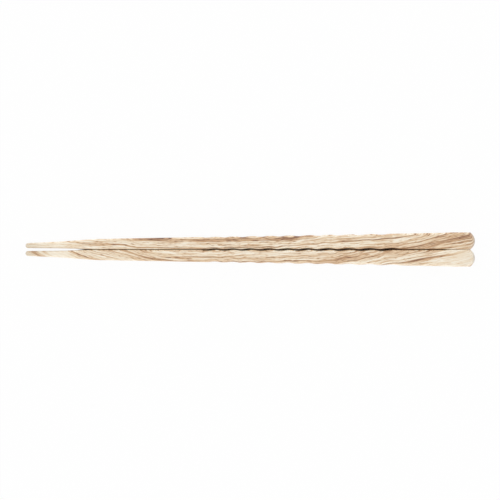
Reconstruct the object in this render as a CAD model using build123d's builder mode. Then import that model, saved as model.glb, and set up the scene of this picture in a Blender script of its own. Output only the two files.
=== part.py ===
"""Pair of moulded chopsticks: square tapered sticks with a spiral grip groove, lying side by side.

Millimetres. X runs from the eating tips to the heads, Y across the pair, Z up from the table.
The origin is on the table, midway along the sticks and between them.
"""
import os
from math import cos, pi, sin, sqrt

from build123d import *

# Lengths along one stick
length = 225.0  # eating tip to the top of the domed head
slim_length = 17.0  # slimmest part of the eating end
swell_length = 20.0  # from there to the shoulder, where the even taper begins
swell_steps = 6  # straight runs that make up the curve of the swell
head_length = 12.0  # square head, left a little fuller than the body
head_run = 4.0  # slope between the body and the head

# Widths across the flats
tip_width = 2.45
slim_width = 3.4
shoulder_width = 5.2
neck_width = 8.2  # end of the body, just before the head
head_width = 8.5

# Corner radii of the square section
tip_corner = 1.12
slim_corner = 1.55
shoulder_corner = 1.05
neck_corner = 1.65
head_corner = 0.7

# Rounded ends
nose_margin = 0.08  # radius of the tip's ball over the corners of the tip
dome_reach = 8.4  # half length of the ellipsoid that domes the head
dome_margin = 0.55  # its radius over the corners of the head

# Spiral grip groove, sized at its first turn
grip_start = 90.9  # from the tip to the first hollow on the +Y side
first_turn = 8.65  # length of the first turn along the stick
turn_growth = 1.028  # each turn is this much larger than the one before
grip_turns = 9.5  # from the first hollow on the +Y side to the last on the -Y side
run_out = 0.25  # part of a turn over which the groove fades, at each end
groove_radius = 13.0
groove_depth = 0.36
fade_lift = 1.0  # how far the cutter has risen at the end of the run-out
cutter_clearance = 0.25  # height over the surface to which the cutter's round goes on
cutter_height = 1.2  # top of the cutter over the surface
squareness = 4.2  # exponent of the rounded square that the groove follows
sections_per_turn = 16

# How the pair lies
head_gap = 0.05  # between the two heads
tip_gap = 1.5  # between the two tips
splay = 0.1  # how far the tip of a stick leans away from the other stick, while the heads stay straight

shoulder_at = slim_length + swell_length
head_at = length - head_length
neck_at = head_at - head_run
head_flare = (head_width - neck_width) / 2


def body_share(along):
    """How far along the even taper a place is: 0 at the shoulder, 1 at the neck."""
    return (along - shoulder_at) / (neck_at - shoulder_at)


def body_width(along):
    """Width across the flats of the tapered body."""
    return shoulder_width + (neck_width - shoulder_width) * body_share(along)


def body_centre(along):
    """Distance of the body's axis from the table and from the face towards the other stick."""
    return body_width(along) / 2 + head_flare * body_share(along)


def swell(share):
    """Width and corner radius in the swell, a curve that meets the slope at each of its ends."""
    slim_slope = (slim_width - tip_width) / slim_length * swell_length
    body_slope = (neck_width - shoulder_width) / (neck_at - shoulder_at) * swell_length
    rise = 3 * share**2 - 2 * share**3
    width = slim_width + (shoulder_width - slim_width) * rise
    width += slim_slope * share * (1 - share) ** 2 - body_slope * share**2 * (1 - share)
    return width, slim_corner + (shoulder_corner - slim_corner) * share


def front_centre(along):
    """The same distance in the eating end, whose axis runs straight to the tip."""
    at_tip = (tip_gap - head_gap + tip_width) / 2 - splay
    return at_tip + (body_centre(shoulder_at) - at_tip) * along / shoulder_at


def corner_reach(width, corner):
    """Distance from the axis to the outside of a rounded corner."""
    return (width / 2 - corner) * sqrt(2) + corner


def cross_plane(side, along, centre):
    """Plane across one stick, its origin on the stick's axis."""
    lean = splay * max(1 - along / head_at, 0)
    origin = (along - length / 2, side * (head_gap / 2 + centre + lean), centre)
    return Plane(origin=origin, x_dir=(0, 1, 0), z_dir=(1, 0, 0))


def axial_plane(side, along, centre):
    """Upright plane along one stick, its origin on the stick's axis."""
    return Plane(origin=cross_plane(side, along, centre).origin, x_dir=(1, 0, 0), z_dir=(0, -1, 0))


def groove_section(side, turn):
    """Cutter profile after a number of turns: an arc that bites into the surface, flat on top."""
    size = turn_growth**turn
    along = grip_start + first_turn * (size - 1) / (turn_growth - 1)
    angle = 2 * pi * turn
    square = (abs(cos(angle)) ** squareness + abs(sin(angle)) ** squareness) ** (1 / squareness)
    past_end = max(-turn, turn - grip_turns, 0) / run_out
    radius = body_width(along) / 2 / square + fade_lift * size * past_end**2
    on_surface = cross_plane(side, along, body_centre(along)).from_local_coords(
        (radius * cos(angle), radius * sin(angle), 0)
    )
    rise = groove_depth + cutter_clearance
    half = sqrt(groove_radius**2 - (groove_radius - rise) ** 2) * size
    arc_end = cutter_clearance * size
    axial = Plane(origin=on_surface, x_dir=(1, 0, 0), z_dir=(0, -sin(angle), cos(angle)))
    with BuildSketch(axial) as profile:
        with BuildLine():
            ThreePointArc((-half, arc_end), (0, -groove_depth * size), (half, arc_end))
            Polyline((half, arc_end), (half, cutter_height), (-half, cutter_height), (-half, arc_end))
        make_face()
    return profile.sketch


os.makedirs("parts", exist_ok=True)

for node, side in (("back_chopstick", 1), ("front_chopstick", -1)):
    with BuildPart() as chopstick:
        # Sections from the tip to the head, joined by straight runs
        stations = [(0, tip_width, tip_corner, front_centre(0))]
        for step in range(swell_steps):
            along = slim_length + swell_length * step / swell_steps
            stations.append((along, *swell(step / swell_steps), front_centre(along)))
        stations.append((shoulder_at, shoulder_width, shoulder_corner, body_centre(shoulder_at)))
        stations.append((neck_at, neck_width, neck_corner, body_centre(neck_at)))
        stations.append((head_at, head_width, head_corner, head_width / 2))
        stations.append((length, head_width, head_corner, head_width / 2))
        for along, width, corner, centre in stations:
            with BuildSketch(cross_plane(side, along, centre)):
                RectangleRounded(width, width, corner)
        loft(ruled=True)

        # Domed head: everything outside the ellipsoid's end is trimmed away
        dome_spread = corner_reach(head_width, head_corner) + dome_margin
        head_end = axial_plane(side, length, head_width / 2)
        with BuildSketch(head_end):
            with BuildLine():
                EllipticalCenterArc((-dome_reach, 0), dome_reach, dome_spread, arc_size=90)
                Polyline((-dome_reach, dome_spread), (-length, dome_spread), (-length, 0), (0, 0))
            make_face()
        revolve(axis=Axis(head_end.origin, (1, 0, 0)), mode=Mode.INTERSECT)

        # Rounded tip, trimmed in the same way
        nose_radius = corner_reach(tip_width, tip_corner) + nose_margin
        tip_end = axial_plane(side, 0, front_centre(0))
        with BuildSketch(tip_end):
            with BuildLine():
                CenterArc((nose_radius, 0), nose_radius, start_angle=90, arc_size=90)
                Polyline((nose_radius, nose_radius), (nose_radius, length), (length, length))
                Polyline((length, length), (length, 0), (0, 0))
            make_face()
        revolve(axis=Axis(tip_end.origin, (1, 0, 0)), mode=Mode.INTERSECT)

        # Spiral groove
        turns = grip_turns + 2 * run_out
        steps = round(turns * sections_per_turn)
        cutters = [groove_section(side, turns * step / steps - run_out) for step in range(steps + 1)]
        loft(sections=cutters, mode=Mode.SUBTRACT)

    chopstick.part.label = node
    export_step(chopstick.part, f"parts/{node}.step")
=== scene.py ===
"""Looks of a pair of moulded plastic chopsticks with a printed wood grain, seen from straight above.

Metres, unless a comment says mm.
X runs from the eating tips to the heads, Y across the pair, Z up from the table.
"""
from math import pi

import bpy
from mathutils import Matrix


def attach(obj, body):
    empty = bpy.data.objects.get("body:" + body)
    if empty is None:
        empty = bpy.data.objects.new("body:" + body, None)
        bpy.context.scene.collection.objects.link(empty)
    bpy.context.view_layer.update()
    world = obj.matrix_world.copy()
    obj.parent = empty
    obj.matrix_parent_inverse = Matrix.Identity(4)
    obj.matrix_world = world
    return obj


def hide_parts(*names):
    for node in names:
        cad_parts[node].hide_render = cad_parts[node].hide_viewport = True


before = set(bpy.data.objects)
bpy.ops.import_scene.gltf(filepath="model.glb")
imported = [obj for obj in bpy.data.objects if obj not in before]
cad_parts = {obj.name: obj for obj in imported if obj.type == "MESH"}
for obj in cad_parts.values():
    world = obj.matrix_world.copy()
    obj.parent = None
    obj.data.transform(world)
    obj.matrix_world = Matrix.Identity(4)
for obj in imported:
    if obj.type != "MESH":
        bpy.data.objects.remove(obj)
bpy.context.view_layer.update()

MM = 0.001
TURN = 2 * pi
SQUARE_CORNERS = 4
STICK_LENGTH = 225.0  # mm
TOP_HEIGHT = 6.58  # mm, top of the sticks at the middle
TOP_SLOPE = 0.0183  # how the top climbs towards the head

# One stick, sizes in mm. Places are counted from the tip.
# A section gives the width across the flats, the corner radius and the height of the axis over the table.
STICK_SIZES = {
    "Length": STICK_LENGTH,
    "Slim At": 17.0,
    "Shoulder At": 37.0,
    "Neck At": 209.0,
    "Head At": 213.0,
    "Tip Section": (2.45, 1.12, 1.85),
    "Slim Section": (3.4, 1.55, 2.195),
    "Shoulder Section": (5.2, 1.05, 2.603),
    "Neck Section": (8.2, 1.65, 4.25),
    "Head Section": (8.5, 0.7, 4.25),
    "Swell Start": -0.682,  # these two bend the run from the slim end to the shoulder into a soft swell
    "Swell Turn": 1.9,
    "Nose Radius": 1.348,  # ball at the tip
    "Dome Reach": 8.4,  # half length of the ellipsoid that domes the head, and its radius
    "Dome Spread": 6.27,
    "Grip Start": 90.9,  # the groove's first hollow on the +Y side
    "First Turn": 8.65,  # length of its first turn along the stick
    "Turn Growth": 1.028,  # each turn is this much larger than the one before
    "Grip Turns": 9.5,
    "Run Out": 0.25,  # part of a turn over which the groove fades, at each end
    "Fade Lift": 1.0,  # how far its bottom has risen by then
    "Groove Radius": 13.0,
    "Groove Depth": 0.36,
    "Squareness": 4.2,  # exponent of the rounded square that the groove follows
    "Ridge Softness": 0.2,  # height over which the groove's edges are rounded
    "Head Gap": 0.05,  # between the two heads
    "Splay": 0.1,  # how far the tip leans away from the other stick
}
ROWS = 1000  # points along a stick
COLUMNS = 89  # points around it, the last on top of the first
END_CROWDING = 0.8  # how much closer the rows lie at the ends
CORNER_CROWDING = 0.45  # how much closer the columns lie at the corners
SEAM = 0.001 * MM  # points nearer than this are joined, at the seam and at both ends

# Camera: a long lens straight over the pair
FRAME_WIDTH = 250.1 * MM  # what the picture takes in across, at the height of the sticks' sides
OUTLINE_HEIGHT = 4.0 * MM
CAMERA_LENS = 100.0  # mm
SENSOR = 36.0  # mm
CAMERA_SHIFT = (0.1 * MM, -0.25 * MM)  # the pair lies a little off the middle of the picture

# Light: a white tent
OVERHEAD_LEVEL = 0.86
SIDE_LEVEL = 4.5  # added low down along both long sides of the pair
SIDE_FALL = 3.0  # how fast that drops with height
SIDE_NARROW = 6.0  # how fast it drops towards the ends of the sticks
TENT_WHITE = "#ffffff"

# Floor
FLOOR_SIZE = 6.0
FLOOR_GLOW = 0.95  # share of plain white in what the camera sees of it, while the rest keeps the shadow
PAPER_WHITE = "#f7f7f7"
CREASE_PAINTED_SHADE = "#5a3c22"  # painted shade: the floor is tinted brown in the crease between the sticks, for their shade and the warm light from their sides
CREASE_REACH = 12.0 * MM  # how near the sticks the floor is looked at for that crease, which stays dark
CREASE_OPEN = (0.16, 0.24)  # open sky at which the floor begins to glow, and glows in full
TIPS_OPEN = (-83.0 * MM, -87.0 * MM)  # beyond this the tips are far enough apart to show the glowing floor

# Wood grain, sizes in mm
GRAIN_LEAN = 0.6  # how far the growth rings shift across for each mm down the sides
WANDER_LENGTH = 22.0  # length of the slow waves in a grain line
WANDER_WIDTH = 5.0
WANDER = 0.8  # how far they swing to each side
WANDER_DETAIL = 2.0
FIBRE_LENGTH = 14.0
FIBRE_WIDTH = 0.45  # fine lines, drawn no finer than the picture can show
FIBRE_DEPTH = 5.0
FIBRE_DETAIL = 2.5
FIBRE_NOISE = (0.3, 0.7)  # from the palest to the darkest fibres
FIBRE_TONE = (-0.33, 0.46)
PORE_LENGTH = 3.0
PORE_WIDTH = 0.3  # also drawn no finer than the picture can show
PORE_DEPTH = 2.5
PORE_DETAIL = 1.0
PORE_NOISE = (0.55, 0.75)  # from where pores begin to where they are darkest
PORE_TONE = 0.62
GRAIN_COLOURS = ((0.0, "#f9f0de"), (0.3, "#e9d2b1"), (0.6, "#cba177"), (1.0, "#82573a"))

# Plastic under the print, and its surface
# grey-beige of the bare plastic near the tips, also used as painted shade where the ends round off
BARE_PLASTIC_AND_END_SHADE = "#9d8e7d"
END_SHADE_FROM = 0.6  # how far a surface faces along the stick before the painted shade on the ends begins
END_SHADE_SHARE = 0.8  # how strong that painted shade is where the surface faces straight along
BARE_ALONG = (  # mm from the middle, and how much of the print is gone
    (-112.5, 0.26),
    (-105, 0.1),
    (-96, 0.0),
    (104, 0.0),
    (112.5, 0.1),
)
ABS_IOR = 1.53
SATIN = (0.4, 0.5)  # roughness between and on the fibres
LACQUER = 0.5
LACQUER_ROUGHNESS = 0.3
RELIEF = 0.02 * MM  # height of the fibres in the moulded surface
RELIEF_STRENGTH = 0.3

# Each stick's grain.
# climb: how its lines run, in mm along from the middle and mm across.
# rings: how deep the tone of its growth rings is, from 0 to 1, by mm across the grain.
# fade: how strong the grain is, by mm along from the middle.
# A dark ring shows where its line crosses the stick.
BACK_GRAIN = {
    "climb": (
        (-112.5, 3.1),
        (-75, 2.2),
        (-64, 1.9),
        (-55, 0.7),
        (-25, 0.0),
        (0, 0.2),
        (30, 1.7),
        (40, 2.8),
        (67, 4.7),
        (80, 6.3),
        (95, 10.0),
        (112.5, 13.0),
    ),
    "rings": (
        (-15.0, 0.3),
        (-10.3, 0.3),
        (-9.3, 0.55),
        (-8.9, 0.3),
        (-7.6, 0.3),
        (-6.8, 0.6),
        (-6.5, 0.35),
        (-6.0, 0.5),
        (-5.4, 0.85),
        (-4.9, 0.35),
        (-3.9, 0.25),
        (-3.2, 0.5),
        (-2.9, 0.15),
        (0.1, 0.12),
        (0.55, 0.8),
        (0.85, 0.12),
        (3.4, 0.15),
        (4.4, 0.55),
        (5.0, 0.65),
        (5.5, 0.2),
        (9.0, 0.2),
    ),
    "fade": (
        (-112.5, 0.5),
        (-88, 0.75),
        (-80, 1.0),
        (-25, 1.0),
        (-15, 1.15),
        (20, 1.15),
        (30, 1.06),
        (75, 1.06),
        (85, 1.0),
    ),
}
FRONT_GRAIN = {
    "climb": (
        (-112.5, 22.6),
        (-80, 9.7),
        (-60, 5.0),
        (-52, 2.7),
        (-38, 0.7),
        (-25, 0.0),
        (10, 0.0),
        (35, 0.8),
        (47, 2.0),
        (67, 6.0),
        (92, 10.5),
        (112.5, 14.0),
    ),
    "rings": (
        (-30.0, 0.15),
        (-24.2, 0.15),
        (-22.9, 0.95),
        (-22.2, 0.6),
        (-21.6, 0.12),
        (-15.2, 0.12),
        (-14.0, 0.8),
        (-13.6, 0.12),
        (-11.8, 0.15),
        (-11.0, 0.35),
        (-10.7, 0.12),
        (-9.2, 0.2),
        (-8.0, 0.45),
        (-7.5, 0.2),
        (-7.0, 0.3),
        (-6.3, 0.6),
        (-5.8, 0.2),
        (-4.6, 0.2),
        (-3.8, 0.4),
        (-3.2, 0.12),
        (3.0, 0.12),
    ),
    "fade": (
        (-112.5, 0.6),
        (-108, 0.75),
        (-103, 0.75),
        (-100, 0.25),
        (-92, 0.25),
        (-87, 0.85),
        (-76, 0.9),
        (-56, 0.86),
        (-46, 1.0),
        (90, 1.0),
        (106, 0.4),
    ),
}


def linear(hex_colour):
    """An sRGB hex colour as the linear RGBA that Blender's sockets take."""
    channels = [int(hex_colour[i : i + 2], 16) / 255 for i in (1, 3, 5)]
    return (*[c / 12.92 if c <= 0.04045 else ((c + 0.055) / 1.055) ** 2.4 for c in channels], 1.0)


def node(tree, kind, sets=None, links=None):
    """Adds a node, sets its properties or input sockets, and links other nodes or sockets to its inputs."""
    made = tree.nodes.new(kind)
    for key, value in (sets or {}).items():
        if isinstance(key, str) and key in made.bl_rna.properties:
            setattr(made, key, value)
        else:
            made.inputs[key].default_value = value
    for key, source in (links or {}).items():
        socket = source.outputs[0] if isinstance(source, bpy.types.Node) else source
        tree.links.new(socket, made.inputs[key])
    return made


def empty_material(name):
    """A node material with nothing in it yet."""
    made = bpy.data.materials.new(name)
    made.use_nodes = True
    made.node_tree.nodes.clear()
    return made


def fill_ramp(ramp_node, stops):
    """Sets a colour ramp's stops, given as position and colour from left to right."""
    elements = ramp_node.color_ramp.elements
    while len(elements) < len(stops):
        elements.new(1.0)
    for element, (position, colour) in zip(elements, stops):
        element.position = position
        element.color = colour


def grey_stops(points, low, high):
    """Ramp stops from places in mm and greys."""
    return [((place - low) / (high - low), (grey, grey, grey, 1.0)) for place, grey in points]


def printed_wood(name, grain):
    """ABS, moulded smooth, printed with a pale ash grain and lacquered: satin cream with brown lines."""
    made = empty_material(name)
    tree = made.node_tree
    place = node(tree, "ShaderNodeTexCoord")
    to_mm = {"operation": "SCALE", "Scale": 1 / MM}
    in_mm = node(tree, "ShaderNodeVectorMath", to_mm, {0: place.outputs["Object"]})
    axes = node(tree, "ShaderNodeSeparateXYZ", links={0: in_mm})
    along = axes.outputs["X"]
    ends = {"From Min": -STICK_LENGTH / 2, "From Max": STICK_LENGTH / 2}
    share = node(tree, "ShaderNodeMapRange", ends, {"Value": along})

    # Across the grain: sideways place, with the lean down the sides and without the lines' climb
    climb = node(tree, "ShaderNodeFloatCurve", links={"Value": share})
    highest = max(height for _, height in grain["climb"])
    points = climb.mapping.curves[0].points
    while len(points) < len(grain["climb"]):
        points.new(0.5, 0.5)
    for point, (mm_along, height) in zip(points, grain["climb"]):
        point.location = (mm_along / STICK_LENGTH + 0.5, height / highest)
    climb.mapping.update()
    lean = {"operation": "DOT_PRODUCT", 1: (-GRAIN_LEAN * TOP_SLOPE, 1.0, GRAIN_LEAN)}
    level = node(tree, "ShaderNodeVectorMath", lean, {0: in_mm})
    less_climb = {"operation": "MULTIPLY_ADD", 1: -highest}
    across = node(tree, "ShaderNodeMath", less_climb, {0: climb, 2: level.outputs["Value"]})

    # The lines wander slowly
    wave_size = {"Scale": (1 / WANDER_LENGTH, 1 / WANDER_WIDTH, 1 / WANDER_WIDTH)}
    slow = node(tree, "ShaderNodeMapping", wave_size, {"Vector": in_mm})
    waves = node(tree, "ShaderNodeTexNoise", {"Scale": 1.0, "Detail": WANDER_DETAIL}, {"Vector": slow})
    top_lean = GRAIN_LEAN * TOP_HEIGHT
    swing = {"To Min": -WANDER - top_lean, "To Max": WANDER - top_lean}
    swung = node(tree, "ShaderNodeMapRange", swing, {"Value": waves})
    wandering = node(tree, "ShaderNodeMath", {"operation": "ADD"}, {0: across, 1: swung})

    # Growth rings
    low, high = grain["rings"][0][0], grain["rings"][-1][0]
    ring_span = {"clamp": False, "From Min": low, "From Max": high}
    ring_place = node(tree, "ShaderNodeMapRange", ring_span, {"Value": wandering})
    folded = node(tree, "ShaderNodeMath", {"operation": "PINGPONG", 1: 1.0}, {0: ring_place})
    rings = node(tree, "ShaderNodeValToRGB", links={"Fac": folded})
    fill_ramp(rings, grey_stops(grain["rings"], low, high))

    # Fine fibres and pores, drawn along the same lines
    grain_axes = {"X": along, "Y": wandering, "Z": axes.outputs["Z"]}
    grain_place = node(tree, "ShaderNodeCombineXYZ", links=grain_axes)
    fibre_size = {"Scale": (1 / FIBRE_LENGTH, 1 / FIBRE_WIDTH, 1 / FIBRE_DEPTH)}
    fine = node(tree, "ShaderNodeMapping", fibre_size, {"Vector": grain_place})
    fibres = node(tree, "ShaderNodeTexNoise", {"Scale": 1.0, "Detail": FIBRE_DETAIL}, {"Vector": fine})
    pore_size = {"Scale": (1 / PORE_LENGTH, 1 / PORE_WIDTH, 1 / PORE_DEPTH)}
    short = node(tree, "ShaderNodeMapping", pore_size, {"Vector": grain_place})
    pores = node(tree, "ShaderNodeTexNoise", {"Scale": 1.0, "Detail": PORE_DETAIL}, {"Vector": short})
    pore_range = {"From Min": PORE_NOISE[0], "From Max": PORE_NOISE[1], "To Min": 0.0, "To Max": PORE_TONE}
    pore_marks = node(tree, "ShaderNodeMapRange", pore_range, {"Value": pores})
    fibre_range = {
        "From Min": FIBRE_NOISE[0],
        "From Max": FIBRE_NOISE[1],
        "To Min": FIBRE_TONE[0],
        "To Max": FIBRE_TONE[1],
    }
    fibre_tone = node(tree, "ShaderNodeMapRange", fibre_range, {"Value": fibres})
    lines = node(tree, "ShaderNodeMath", {"operation": "ADD"}, {0: rings, 1: fibre_tone})
    all_lines = node(tree, "ShaderNodeMath", {"operation": "ADD"}, {0: lines, 1: pore_marks})

    # Tone of the print, and its colour
    fade = node(tree, "ShaderNodeValToRGB", links={"Fac": share})
    fill_ramp(fade, grey_stops(grain["fade"], -STICK_LENGTH / 2, STICK_LENGTH / 2))
    tone = node(tree, "ShaderNodeMath", {"operation": "MULTIPLY"}, {0: all_lines, 1: fade})
    colour = node(tree, "ShaderNodeValToRGB", links={"Fac": tone})
    fill_ramp(colour, [(place_on_ramp, linear(shade)) for place_on_ramp, shade in GRAIN_COLOURS])

    # The print thins out near the tips, and the grey-beige plastic shows. Where the ends round off, the same
    # grey-beige is painted shade, by how far the surface faces along the stick
    thin = node(tree, "ShaderNodeValToRGB", links={"Fac": share})
    fill_ramp(thin, grey_stops(BARE_ALONG, -STICK_LENGTH / 2, STICK_LENGTH / 2))
    facing = node(tree, "ShaderNodeSeparateXYZ", links={0: place.outputs["Normal"]})
    endwise = node(tree, "ShaderNodeMath", {"operation": "ABSOLUTE"}, {0: facing.outputs["X"]})
    end_shade_range = {"From Min": END_SHADE_FROM, "To Max": END_SHADE_SHARE}
    rounded = node(tree, "ShaderNodeMapRange", end_shade_range, {"Value": endwise})
    bare_and_end_shade = node(tree, "ShaderNodeMath", {"operation": "MAXIMUM"}, {0: thin, 1: rounded})
    plastic = {"data_type": "RGBA", 7: linear(BARE_PLASTIC_AND_END_SHADE)}
    skin = node(tree, "ShaderNodeMix", plastic, {0: bare_and_end_shade, 6: colour})

    # Satin surface with the fibres in faint relief, under clear lacquer
    satin_range = {
        "From Min": FIBRE_NOISE[0],
        "From Max": FIBRE_NOISE[1],
        "To Min": SATIN[0],
        "To Max": SATIN[1],
    }
    satin = node(tree, "ShaderNodeMapRange", satin_range, {"Value": fibres})
    relief_size = {"Strength": RELIEF_STRENGTH, "Distance": RELIEF}
    relief = node(tree, "ShaderNodeBump", relief_size, {"Height": fibres})
    surface = {"IOR": ABS_IOR, "Coat Weight": LACQUER, "Coat Roughness": LACQUER_ROUGHNESS}
    skin_links = {"Base Color": skin.outputs[2], "Roughness": satin, "Normal": relief}
    shader = node(tree, "ShaderNodeBsdfPrincipled", surface, skin_links)
    node(tree, "ShaderNodeOutputMaterial", links={"Surface": shader})
    return made


def stick_tree():
    """Geometry nodes for one stick: a rounded square swept from tip to head, with round ends and a groove."""
    tree = bpy.data.node_groups.new("stick with spiral grip", "GeometryNodeTree")
    tree.interface.new_socket("Stick", in_out="OUTPUT", socket_type="NodeSocketGeometry")
    tree.interface.new_socket("Finish", in_out="INPUT", socket_type="NodeSocketMaterial")
    tree.interface.new_socket("Side", in_out="INPUT", socket_type="NodeSocketFloat")
    for name, value in STICK_SIZES.items():
        kind = "NodeSocketVector" if isinstance(value, tuple) else "NodeSocketFloat"
        tree.interface.new_socket(name, in_out="INPUT", socket_type=kind)
    sizes = node(tree, "NodeGroupInput").outputs

    # A sheet of points, with rows along the stick and columns around it
    counts = {"Size X": 1.0, "Size Y": 1.0, "Vertices X": ROWS, "Vertices Y": COLUMNS}
    sheet = node(tree, "GeometryNodeMeshGrid", counts)
    position = node(tree, "GeometryNodeInputPosition")
    place = node(tree, "ShaderNodeSeparateXYZ", links={0: position})
    row = node(tree, "ShaderNodeMath", {"operation": "ADD", 1: 0.5}, {0: place.outputs["X"]})
    column = node(tree, "ShaderNodeMath", {"operation": "ADD", 1: 0.5}, {0: place.outputs["Y"]})

    # Place along the stick, from the tip
    row_angle = node(tree, "ShaderNodeMath", {"operation": "MULTIPLY", 1: TURN}, {0: row})
    row_wave = node(tree, "ShaderNodeMath", {"operation": "SINE"}, {0: row_angle})
    crowd_ends = {"operation": "MULTIPLY_ADD", 1: -END_CROWDING / TURN}
    row_share = node(tree, "ShaderNodeMath", crowd_ends, {0: row_wave, 2: row})
    along = node(tree, "ShaderNodeMath", {"operation": "MULTIPLY"}, {0: row_share, 1: sizes["Length"]})

    # Place around it, in turns from the +Y side
    corner_turn = {"operation": "MULTIPLY", 1: SQUARE_CORNERS * TURN}
    column_angle = node(tree, "ShaderNodeMath", corner_turn, {0: column})
    column_wave = node(tree, "ShaderNodeMath", {"operation": "SINE"}, {0: column_angle})
    crowd_corners = {"operation": "MULTIPLY_ADD", 1: CORNER_CROWDING / (SQUARE_CORNERS * TURN)}
    turn = node(tree, "ShaderNodeMath", crowd_corners, {0: column_wave, 2: column})
    angle = node(tree, "ShaderNodeMath", {"operation": "MULTIPLY", 1: TURN}, {0: turn})
    cosine = node(tree, "ShaderNodeMath", {"operation": "COSINE"}, {0: angle})
    sine = node(tree, "ShaderNodeMath", {"operation": "SINE"}, {0: angle})
    wide = node(tree, "ShaderNodeMath", {"operation": "ABSOLUTE"}, {0: cosine})
    high = node(tree, "ShaderNodeMath", {"operation": "ABSOLUTE"}, {0: sine})

    # Section: from one to the next in straight runs, with a curve in the swell
    slim_span = {"Value": along, "From Max": sizes["Slim At"]}
    to_slim = node(tree, "ShaderNodeMapRange", {"From Min": 0.0}, slim_span)
    swell_span = {"Value": along, "From Min": sizes["Slim At"], "From Max": sizes["Shoulder At"]}
    to_shoulder = node(tree, "ShaderNodeMapRange", links=swell_span)
    body_span = {"Value": along, "From Min": sizes["Shoulder At"], "From Max": sizes["Neck At"]}
    to_neck = node(tree, "ShaderNodeMapRange", links=body_span)
    head_span = {"Value": along, "From Min": sizes["Neck At"], "From Max": sizes["Head At"]}
    to_head = node(tree, "ShaderNodeMapRange", links=head_span)
    section = sizes["Tip Section"]
    for share, name in (
        (to_slim, "Slim Section"),
        (to_shoulder, "Shoulder Section"),
        (to_neck, "Neck Section"),
        (to_head, "Head Section"),
    ):
        mixed = node(tree, "ShaderNodeMix", {"data_type": "VECTOR"}, {0: share, 4: section, 5: sizes[name]})
        section = mixed.outputs[1]
    profile = node(tree, "ShaderNodeSeparateXYZ", links={0: section})
    corner = profile.outputs["Y"]
    axis_height = profile.outputs["Z"]
    swell_left = node(tree, "ShaderNodeMath", {"operation": "SUBTRACT", 0: 1.0}, {1: to_shoulder})
    swell_hump = node(tree, "ShaderNodeMath", {"operation": "MULTIPLY"}, {0: to_shoulder, 1: swell_left})
    swell_terms = {0: to_shoulder, 1: sizes["Swell Turn"], 2: sizes["Swell Start"]}
    swell_slope = node(tree, "ShaderNodeMath", {"operation": "MULTIPLY_ADD"}, swell_terms)
    width_terms = {0: swell_hump, 1: swell_slope, 2: profile.outputs["X"]}
    width = node(tree, "ShaderNodeMath", {"operation": "MULTIPLY_ADD"}, width_terms)

    # Reach of the rounded square from its axis: to a flat, or to a corner's round
    half = node(tree, "ShaderNodeMath", {"operation": "MULTIPLY", 1: 0.5}, {0: width})
    half_flat = node(tree, "ShaderNodeMath", {"operation": "SUBTRACT"}, {0: half, 1: corner})
    larger = node(tree, "ShaderNodeMath", {"operation": "MAXIMUM"}, {0: wide, 1: high})
    smaller = node(tree, "ShaderNodeMath", {"operation": "MINIMUM"}, {0: wide, 1: high})
    flat_reach = node(tree, "ShaderNodeMath", {"operation": "DIVIDE"}, {0: half, 1: larger})
    off_flat = node(tree, "ShaderNodeMath", {"operation": "MULTIPLY"}, {0: flat_reach, 1: smaller})
    on_corner = node(tree, "ShaderNodeMath", {"operation": "GREATER_THAN"}, {0: off_flat, 1: half_flat})
    both = node(tree, "ShaderNodeMath", {"operation": "ADD"}, {0: wide, 1: high})
    between = node(tree, "ShaderNodeMath", {"operation": "SUBTRACT"}, {0: wide, 1: high})
    to_centre = node(tree, "ShaderNodeMath", {"operation": "MULTIPLY"}, {0: half_flat, 1: both})
    off_centre = node(tree, "ShaderNodeMath", {"operation": "MULTIPLY"}, {0: half_flat, 1: between})
    off_square = node(tree, "ShaderNodeMath", {"operation": "MULTIPLY"}, {0: off_centre, 1: off_centre})
    corner_square = node(tree, "ShaderNodeMath", {"operation": "MULTIPLY"}, {0: corner, 1: corner})
    under_root = node(tree, "ShaderNodeMath", {"operation": "SUBTRACT"}, {0: corner_square, 1: off_square})
    root = node(tree, "ShaderNodeMath", {"operation": "SQRT"}, {0: under_root})
    corner_reach = node(tree, "ShaderNodeMath", {"operation": "ADD"}, {0: to_centre, 1: root})
    square_reach = node(tree, "ShaderNodeMix", links={0: on_corner, 2: flat_reach, 3: corner_reach})

    # Round ends: a ball at the tip and an ellipsoid at the head
    nose_span = {"Value": along, "From Max": sizes["Nose Radius"]}
    to_tip = {"From Min": 0.0, "To Min": 1.0, "To Max": 0.0}
    nose_share = node(tree, "ShaderNodeMapRange", to_tip, nose_span)
    nose_square = node(tree, "ShaderNodeMath", {"operation": "MULTIPLY"}, {0: nose_share, 1: nose_share})
    nose_rest = node(tree, "ShaderNodeMath", {"operation": "SUBTRACT", 0: 1.0}, {1: nose_square})
    nose_root = node(tree, "ShaderNodeMath", {"operation": "SQRT"}, {0: nose_rest})
    nose_radius = sizes["Nose Radius"]
    nose_round = node(tree, "ShaderNodeMath", {"operation": "MULTIPLY"}, {0: nose_root, 1: nose_radius})
    past_nose = node(tree, "ShaderNodeMath", {"operation": "GREATER_THAN"}, {0: along, 1: nose_radius})
    nose_terms = {0: past_nose, 1: sizes["Length"], 2: nose_round}
    nose = node(tree, "ShaderNodeMath", {"operation": "MULTIPLY_ADD"}, nose_terms)
    dome_ends = {0: sizes["Length"], 1: sizes["Dome Reach"]}
    dome_from = node(tree, "ShaderNodeMath", {"operation": "SUBTRACT"}, dome_ends)
    dome_span = {"Value": along, "From Min": dome_from, "From Max": sizes["Length"]}
    dome_share = node(tree, "ShaderNodeMapRange", links=dome_span)
    dome_square = node(tree, "ShaderNodeMath", {"operation": "MULTIPLY"}, {0: dome_share, 1: dome_share})
    dome_rest = node(tree, "ShaderNodeMath", {"operation": "SUBTRACT", 0: 1.0}, {1: dome_square})
    dome_root = node(tree, "ShaderNodeMath", {"operation": "SQRT"}, {0: dome_rest})
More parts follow.
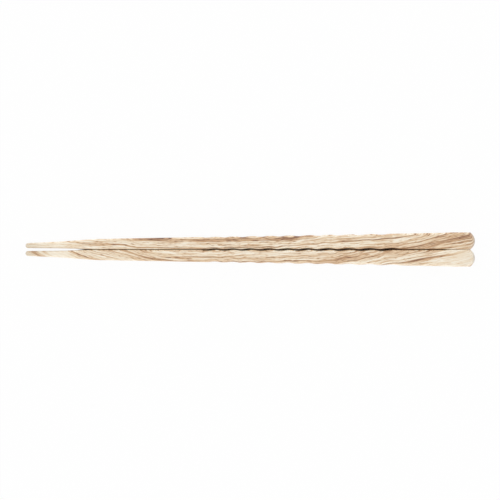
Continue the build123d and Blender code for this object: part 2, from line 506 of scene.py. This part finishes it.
    dome = node(tree, "ShaderNodeMath", {"operation": "MULTIPLY"}, {0: dome_root, 1: sizes["Dome Spread"]})
    with_nose = node(tree, "ShaderNodeMath", {"operation": "MINIMUM"}, {0: square_reach, 1: nose})
    with_dome = node(tree, "ShaderNodeMath", {"operation": "MINIMUM"}, {0: with_nose, 1: dome})

    # Nearest turn of the groove, which grows from turn to turn
    from_grip = node(tree, "ShaderNodeMath", {"operation": "SUBTRACT"}, {0: along, 1: sizes["Grip Start"]})
    growth = node(tree, "ShaderNodeMath", {"operation": "SUBTRACT", 1: 1.0}, {0: sizes["Turn Growth"]})
    unit = node(tree, "ShaderNodeMath", {"operation": "DIVIDE"}, {0: sizes["First Turn"], 1: growth})
    grown = node(tree, "ShaderNodeMath", {"operation": "DIVIDE"}, {0: from_grip, 1: unit})
    size_here = node(tree, "ShaderNodeMath", {"operation": "ADD", 1: 1.0}, {0: grown})
    turn_terms = {0: size_here, 1: sizes["Turn Growth"]}
    turn_here = node(tree, "ShaderNodeMath", {"operation": "LOGARITHM"}, turn_terms)
    turns_off = node(tree, "ShaderNodeMath", {"operation": "SUBTRACT"}, {0: turn_here, 1: turn})
    whole_turns = node(tree, "ShaderNodeMath", {"operation": "ROUND"}, {0: turns_off})
    nearest = node(tree, "ShaderNodeMath", {"operation": "ADD"}, {0: whole_turns, 1: turn})
    size = node(tree, "ShaderNodeMath", {"operation": "POWER"}, {0: sizes["Turn Growth"], 1: nearest})
    gained = node(tree, "ShaderNodeMath", {"operation": "SUBTRACT", 1: 1.0}, {0: size})
    groove_terms = {0: gained, 1: unit, 2: sizes["Grip Start"]}
    groove_at = node(tree, "ShaderNodeMath", {"operation": "MULTIPLY_ADD"}, groove_terms)

    # Hollow of the groove: an arc, which lifts out of the surface past the first and last turn
    off_groove = node(tree, "ShaderNodeMath", {"operation": "SUBTRACT"}, {0: along, 1: groove_at})
    off_scaled = node(tree, "ShaderNodeMath", {"operation": "DIVIDE"}, {0: off_groove, 1: size})
    arc_square = node(tree, "ShaderNodeMath", {"operation": "MULTIPLY"}, {0: off_scaled, 1: off_scaled})
    groove_radius = sizes["Groove Radius"]
    arc_terms = {0: groove_radius, 1: groove_radius}
    radius_square = node(tree, "ShaderNodeMath", {"operation": "MULTIPLY"}, arc_terms)
    arc_rest = node(tree, "ShaderNodeMath", {"operation": "SUBTRACT"}, {0: radius_square, 1: arc_square})
    arc_root = node(tree, "ShaderNodeMath", {"operation": "SQRT"}, {0: arc_rest})
    arc_rise = node(tree, "ShaderNodeMath", {"operation": "SUBTRACT"}, {0: groove_radius, 1: arc_root})
    hollow = node(tree, "ShaderNodeMath", {"operation": "SUBTRACT"}, {0: arc_rise, 1: sizes["Groove Depth"]})
    half_turns = node(tree, "ShaderNodeMath", {"operation": "MULTIPLY", 1: 0.5}, {0: sizes["Grip Turns"]})
    from_middle = node(tree, "ShaderNodeMath", {"operation": "SUBTRACT"}, {0: nearest, 1: half_turns})
    turns_out = node(tree, "ShaderNodeMath", {"operation": "ABSOLUTE"}, {0: from_middle})
    fade_end = node(tree, "ShaderNodeMath", {"operation": "ADD"}, {0: half_turns, 1: sizes["Run Out"]})
    fade_span = {"Value": turns_out, "From Min": half_turns, "From Max": fade_end}
    faded = node(tree, "ShaderNodeMapRange", links=fade_span)
    fade_square = node(tree, "ShaderNodeMath", {"operation": "MULTIPLY"}, {0: faded, 1: faded})
    lift_terms = {0: fade_square, 1: sizes["Fade Lift"], 2: hollow}
    lifted = node(tree, "ShaderNodeMath", {"operation": "MULTIPLY_ADD"}, lift_terms)

    # It follows a rounded square as wide as the body at that turn
    wide_power = node(tree, "ShaderNodeMath", {"operation": "POWER"}, {0: wide, 1: sizes["Squareness"]})
    high_power = node(tree, "ShaderNodeMath", {"operation": "POWER"}, {0: high, 1: sizes["Squareness"]})
    powers = node(tree, "ShaderNodeMath", {"operation": "ADD"}, {0: wide_power, 1: high_power})
    inverse = node(tree, "ShaderNodeMath", {"operation": "DIVIDE", 0: 1.0}, {1: sizes["Squareness"]})
    squared = node(tree, "ShaderNodeMath", {"operation": "POWER"}, {0: powers, 1: inverse})
    shoulder = node(tree, "ShaderNodeSeparateXYZ", links={0: sizes["Shoulder Section"]})
    neck = node(tree, "ShaderNodeSeparateXYZ", links={0: sizes["Neck Section"]})
    body_terms = {
        "Value": groove_at,
        "From Min": sizes["Shoulder At"],
        "From Max": sizes["Neck At"],
        "To Min": shoulder.outputs["X"],
        "To Max": neck.outputs["X"],
    }
    body_width = node(tree, "ShaderNodeMapRange", {"clamp": False}, body_terms)
    body_half = node(tree, "ShaderNodeMath", {"operation": "MULTIPLY", 1: 0.5}, {0: body_width})
    followed = node(tree, "ShaderNodeMath", {"operation": "DIVIDE"}, {0: body_half, 1: squared})
    groove = node(tree, "ShaderNodeMath", {"operation": "MULTIPLY_ADD"}, {0: lifted, 1: size, 2: followed})
    reach_terms = {0: with_dome, 1: groove, 2: sizes["Ridge Softness"]}
    reach = node(tree, "ShaderNodeMath", {"operation": "SMOOTH_MIN"}, reach_terms)

    # Into place beside the other stick, leaning away from it towards the tip
    lean_span = {"Value": along, "From Max": sizes["Head At"], "To Min": sizes["Splay"]}
    lean = node(tree, "ShaderNodeMapRange", {"From Min": 0.0, "To Max": 0.0}, lean_span)
    leaning = node(tree, "ShaderNodeMath", {"operation": "ADD"}, {0: axis_height, 1: lean})
    half_gap = {"operation": "MULTIPLY_ADD", 1: 0.5}
    outward = node(tree, "ShaderNodeMath", half_gap, {0: sizes["Head Gap"], 2: leaning})
    axis_across = node(tree, "ShaderNodeMath", {"operation": "MULTIPLY"}, {0: outward, 1: sizes["Side"]})
    half_back = {"operation": "MULTIPLY_ADD", 1: -0.5}
    point_x = node(tree, "ShaderNodeMath", half_back, {0: sizes["Length"], 2: along})
    across_terms = {0: reach, 1: cosine, 2: axis_across}
    point_y = node(tree, "ShaderNodeMath", {"operation": "MULTIPLY_ADD"}, across_terms)
    up_terms = {0: reach, 1: sine, 2: axis_height}
    point_z = node(tree, "ShaderNodeMath", {"operation": "MULTIPLY_ADD"}, up_terms)
    point = node(tree, "ShaderNodeCombineXYZ", links={"X": point_x, "Y": point_y, "Z": point_z})
    in_metres = node(tree, "ShaderNodeVectorMath", {"operation": "SCALE", "Scale": MM}, {0: point})
    placed = node(tree, "GeometryNodeSetPosition", links={"Geometry": sheet, "Position": in_metres})
    closed = node(tree, "GeometryNodeMergeByDistance", {"Distance": SEAM}, {"Geometry": placed})
    outwards = node(tree, "GeometryNodeFlipFaces", links={"Mesh": closed})
    smooth = node(tree, "GeometryNodeSetShadeSmooth", links={"Geometry": outwards})
    real = node(tree, "GeometryNodeRealizeInstances", links={"Geometry": smooth})
    finished = node(tree, "GeometryNodeSetMaterial", links={"Geometry": real, "Material": sizes["Finish"]})
    node(tree, "NodeGroupOutput", links={"Stick": finished})
    return tree


def swept_stick(name, tree, side, finish):
    """One stick as a plain mesh, made by the tree."""
    piece = bpy.data.objects.new(name, bpy.data.meshes.new(name))
    bpy.context.collection.objects.link(piece)
    sweep = piece.modifiers.new("sweep", "NODES")
    sweep.node_group = tree
    values = {**STICK_SIZES, "Side": side, "Finish": finish}
    for socket in tree.interface.items_tree:
        if socket.in_out == "INPUT":
            sweep[socket.identifier] = values[socket.name]
    evaluated = piece.evaluated_get(bpy.context.evaluated_depsgraph_get())
    piece.data = bpy.data.meshes.new_from_object(evaluated)
    piece.data.materials.pop(index=0)  # the sheet's own empty slot
    piece.modifiers.clear()
    return piece


def white_paper():
    """Matt paper, mostly plain white to the camera, so that only a faint shadow and the dark crease show,
    with painted shade tinting the crease brown.
    """
    made = empty_material("white paper")
    tree = made.node_tree

    # How much of the floor is lit: all but the crease between the sticks, where the paper is painted brown as
    # shade
    open_sky = node(tree, "ShaderNodeAmbientOcclusion", {"Distance": CREASE_REACH})
    open_range = {"From Min": CREASE_OPEN[0], "From Max": CREASE_OPEN[1]}
    open_share = node(tree, "ShaderNodeMapRange", open_range, {"Value": open_sky.outputs["AO"]})
    place = node(tree, "ShaderNodeTexCoord")
    axes = node(tree, "ShaderNodeSeparateXYZ", links={0: place.outputs["Object"]})
    tips_range = {"From Min": TIPS_OPEN[0], "From Max": TIPS_OPEN[1]}
    between_tips = node(tree, "ShaderNodeMapRange", tips_range, {"Value": axes.outputs["X"]})
    lit = node(tree, "ShaderNodeMath", {"operation": "MAXIMUM"}, {0: open_share, 1: between_tips})

    # Plain white there, mixed over the paper
    # Painted shade: the paper's colour turns brown where the floor is closed in by the sticks
    shades = {"data_type": "RGBA", 6: linear(CREASE_PAINTED_SHADE), 7: linear(PAPER_WHITE)}
    shade = node(tree, "ShaderNodeMix", shades, {0: lit})
    paper = node(tree, "ShaderNodeBsdfDiffuse", links={"Color": shade.outputs[2]})
    white = node(tree, "ShaderNodeEmission", {"Color": linear(TENT_WHITE), "Strength": 1.0})
    rays = node(tree, "ShaderNodeLightPath")
    shown = rays.outputs["Is Camera Ray"]
    for kind in ("Is Glossy Ray", "Is Transmission Ray"):
        shown = node(tree, "ShaderNodeMath", {"operation": "MAXIMUM"}, {0: shown, 1: rays.outputs[kind]})
    plain_white = node(tree, "ShaderNodeMath", {"operation": "MULTIPLY", 1: FLOOR_GLOW}, {0: shown})
    glow = node(tree, "ShaderNodeMath", {"operation": "MULTIPLY"}, {0: plain_white, 1: lit})
    seen = node(tree, "ShaderNodeMixShader", links={0: glow, 1: paper, 2: white})
    node(tree, "ShaderNodeOutputMaterial", links={"Surface": seen})
    return made


def white_tent():
    """Soft light from all around, stronger low down along the long sides, and plain white to the camera."""
    made = bpy.data.worlds.new("white tent")
    made.use_nodes = True
    tree = made.node_tree
    tree.nodes.clear()
    direction = node(tree, "ShaderNodeTexCoord")
    axes = node(tree, "ShaderNodeSeparateXYZ", links={0: direction.outputs["Generated"]})
    from_top = {"operation": "SUBTRACT", "use_clamp": True, 0: 1.0}
    lowness = node(tree, "ShaderNodeMath", from_top, {1: axes.outputs["Z"]})
    fall = node(tree, "ShaderNodeMath", {"operation": "POWER", 1: SIDE_FALL}, {0: lowness})
    narrow = {"operation": "POWER", 1: SIDE_NARROW}
    sideways = node(tree, "ShaderNodeMath", narrow, {0: axes.outputs["Y"]})
    sides = node(tree, "ShaderNodeMath", {"operation": "MULTIPLY"}, {0: fall, 1: sideways})
    levels = {"operation": "MULTIPLY_ADD", 1: SIDE_LEVEL, 2: OVERHEAD_LEVEL}
    level = node(tree, "ShaderNodeMath", levels, {0: sides})
    rays = node(tree, "ShaderNodeLightPath")
    shown = rays.outputs["Is Camera Ray"]
    for kind in ("Is Glossy Ray", "Is Transmission Ray"):
        shown = node(tree, "ShaderNodeMath", {"operation": "MAXIMUM"}, {0: shown, 1: rays.outputs[kind]})
    strength = node(tree, "ShaderNodeMix", {"B": 1.0}, {"Factor": shown, "A": level})
    light = node(tree, "ShaderNodeBackground", {"Color": linear(TENT_WHITE)}, {"Strength": strength})
    node(tree, "ShaderNodeOutputWorld", links={"Surface": light})
    return made


stick_nodes = stick_tree()
for which, side, grain in (("back", 1.0, BACK_GRAIN), ("front", -1.0, FRONT_GRAIN)):
    finish = printed_wood(f"{which} stick printed ABS", grain)
    stick = swept_stick(f"{which}_stick", stick_nodes, side, finish)
    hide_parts(f"{which}_chopstick")
    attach(stick, "root")

bpy.ops.mesh.primitive_plane_add(size=FLOOR_SIZE)
floor = bpy.context.object
floor.name = "floor"
floor.data.materials.append(white_paper())

bpy.context.scene.world = white_tent()

camera = bpy.data.cameras.new("camera")
camera.sensor_width = SENSOR
camera.lens = CAMERA_LENS
camera_object = bpy.data.objects.new("camera", camera)
camera_object.location = (*CAMERA_SHIFT, OUTLINE_HEIGHT + FRAME_WIDTH * CAMERA_LENS / SENSOR)
bpy.context.collection.objects.link(camera_object)
bpy.context.scene.camera = camera_object
bpy.context.scene.view_settings.view_transform = "Standard"
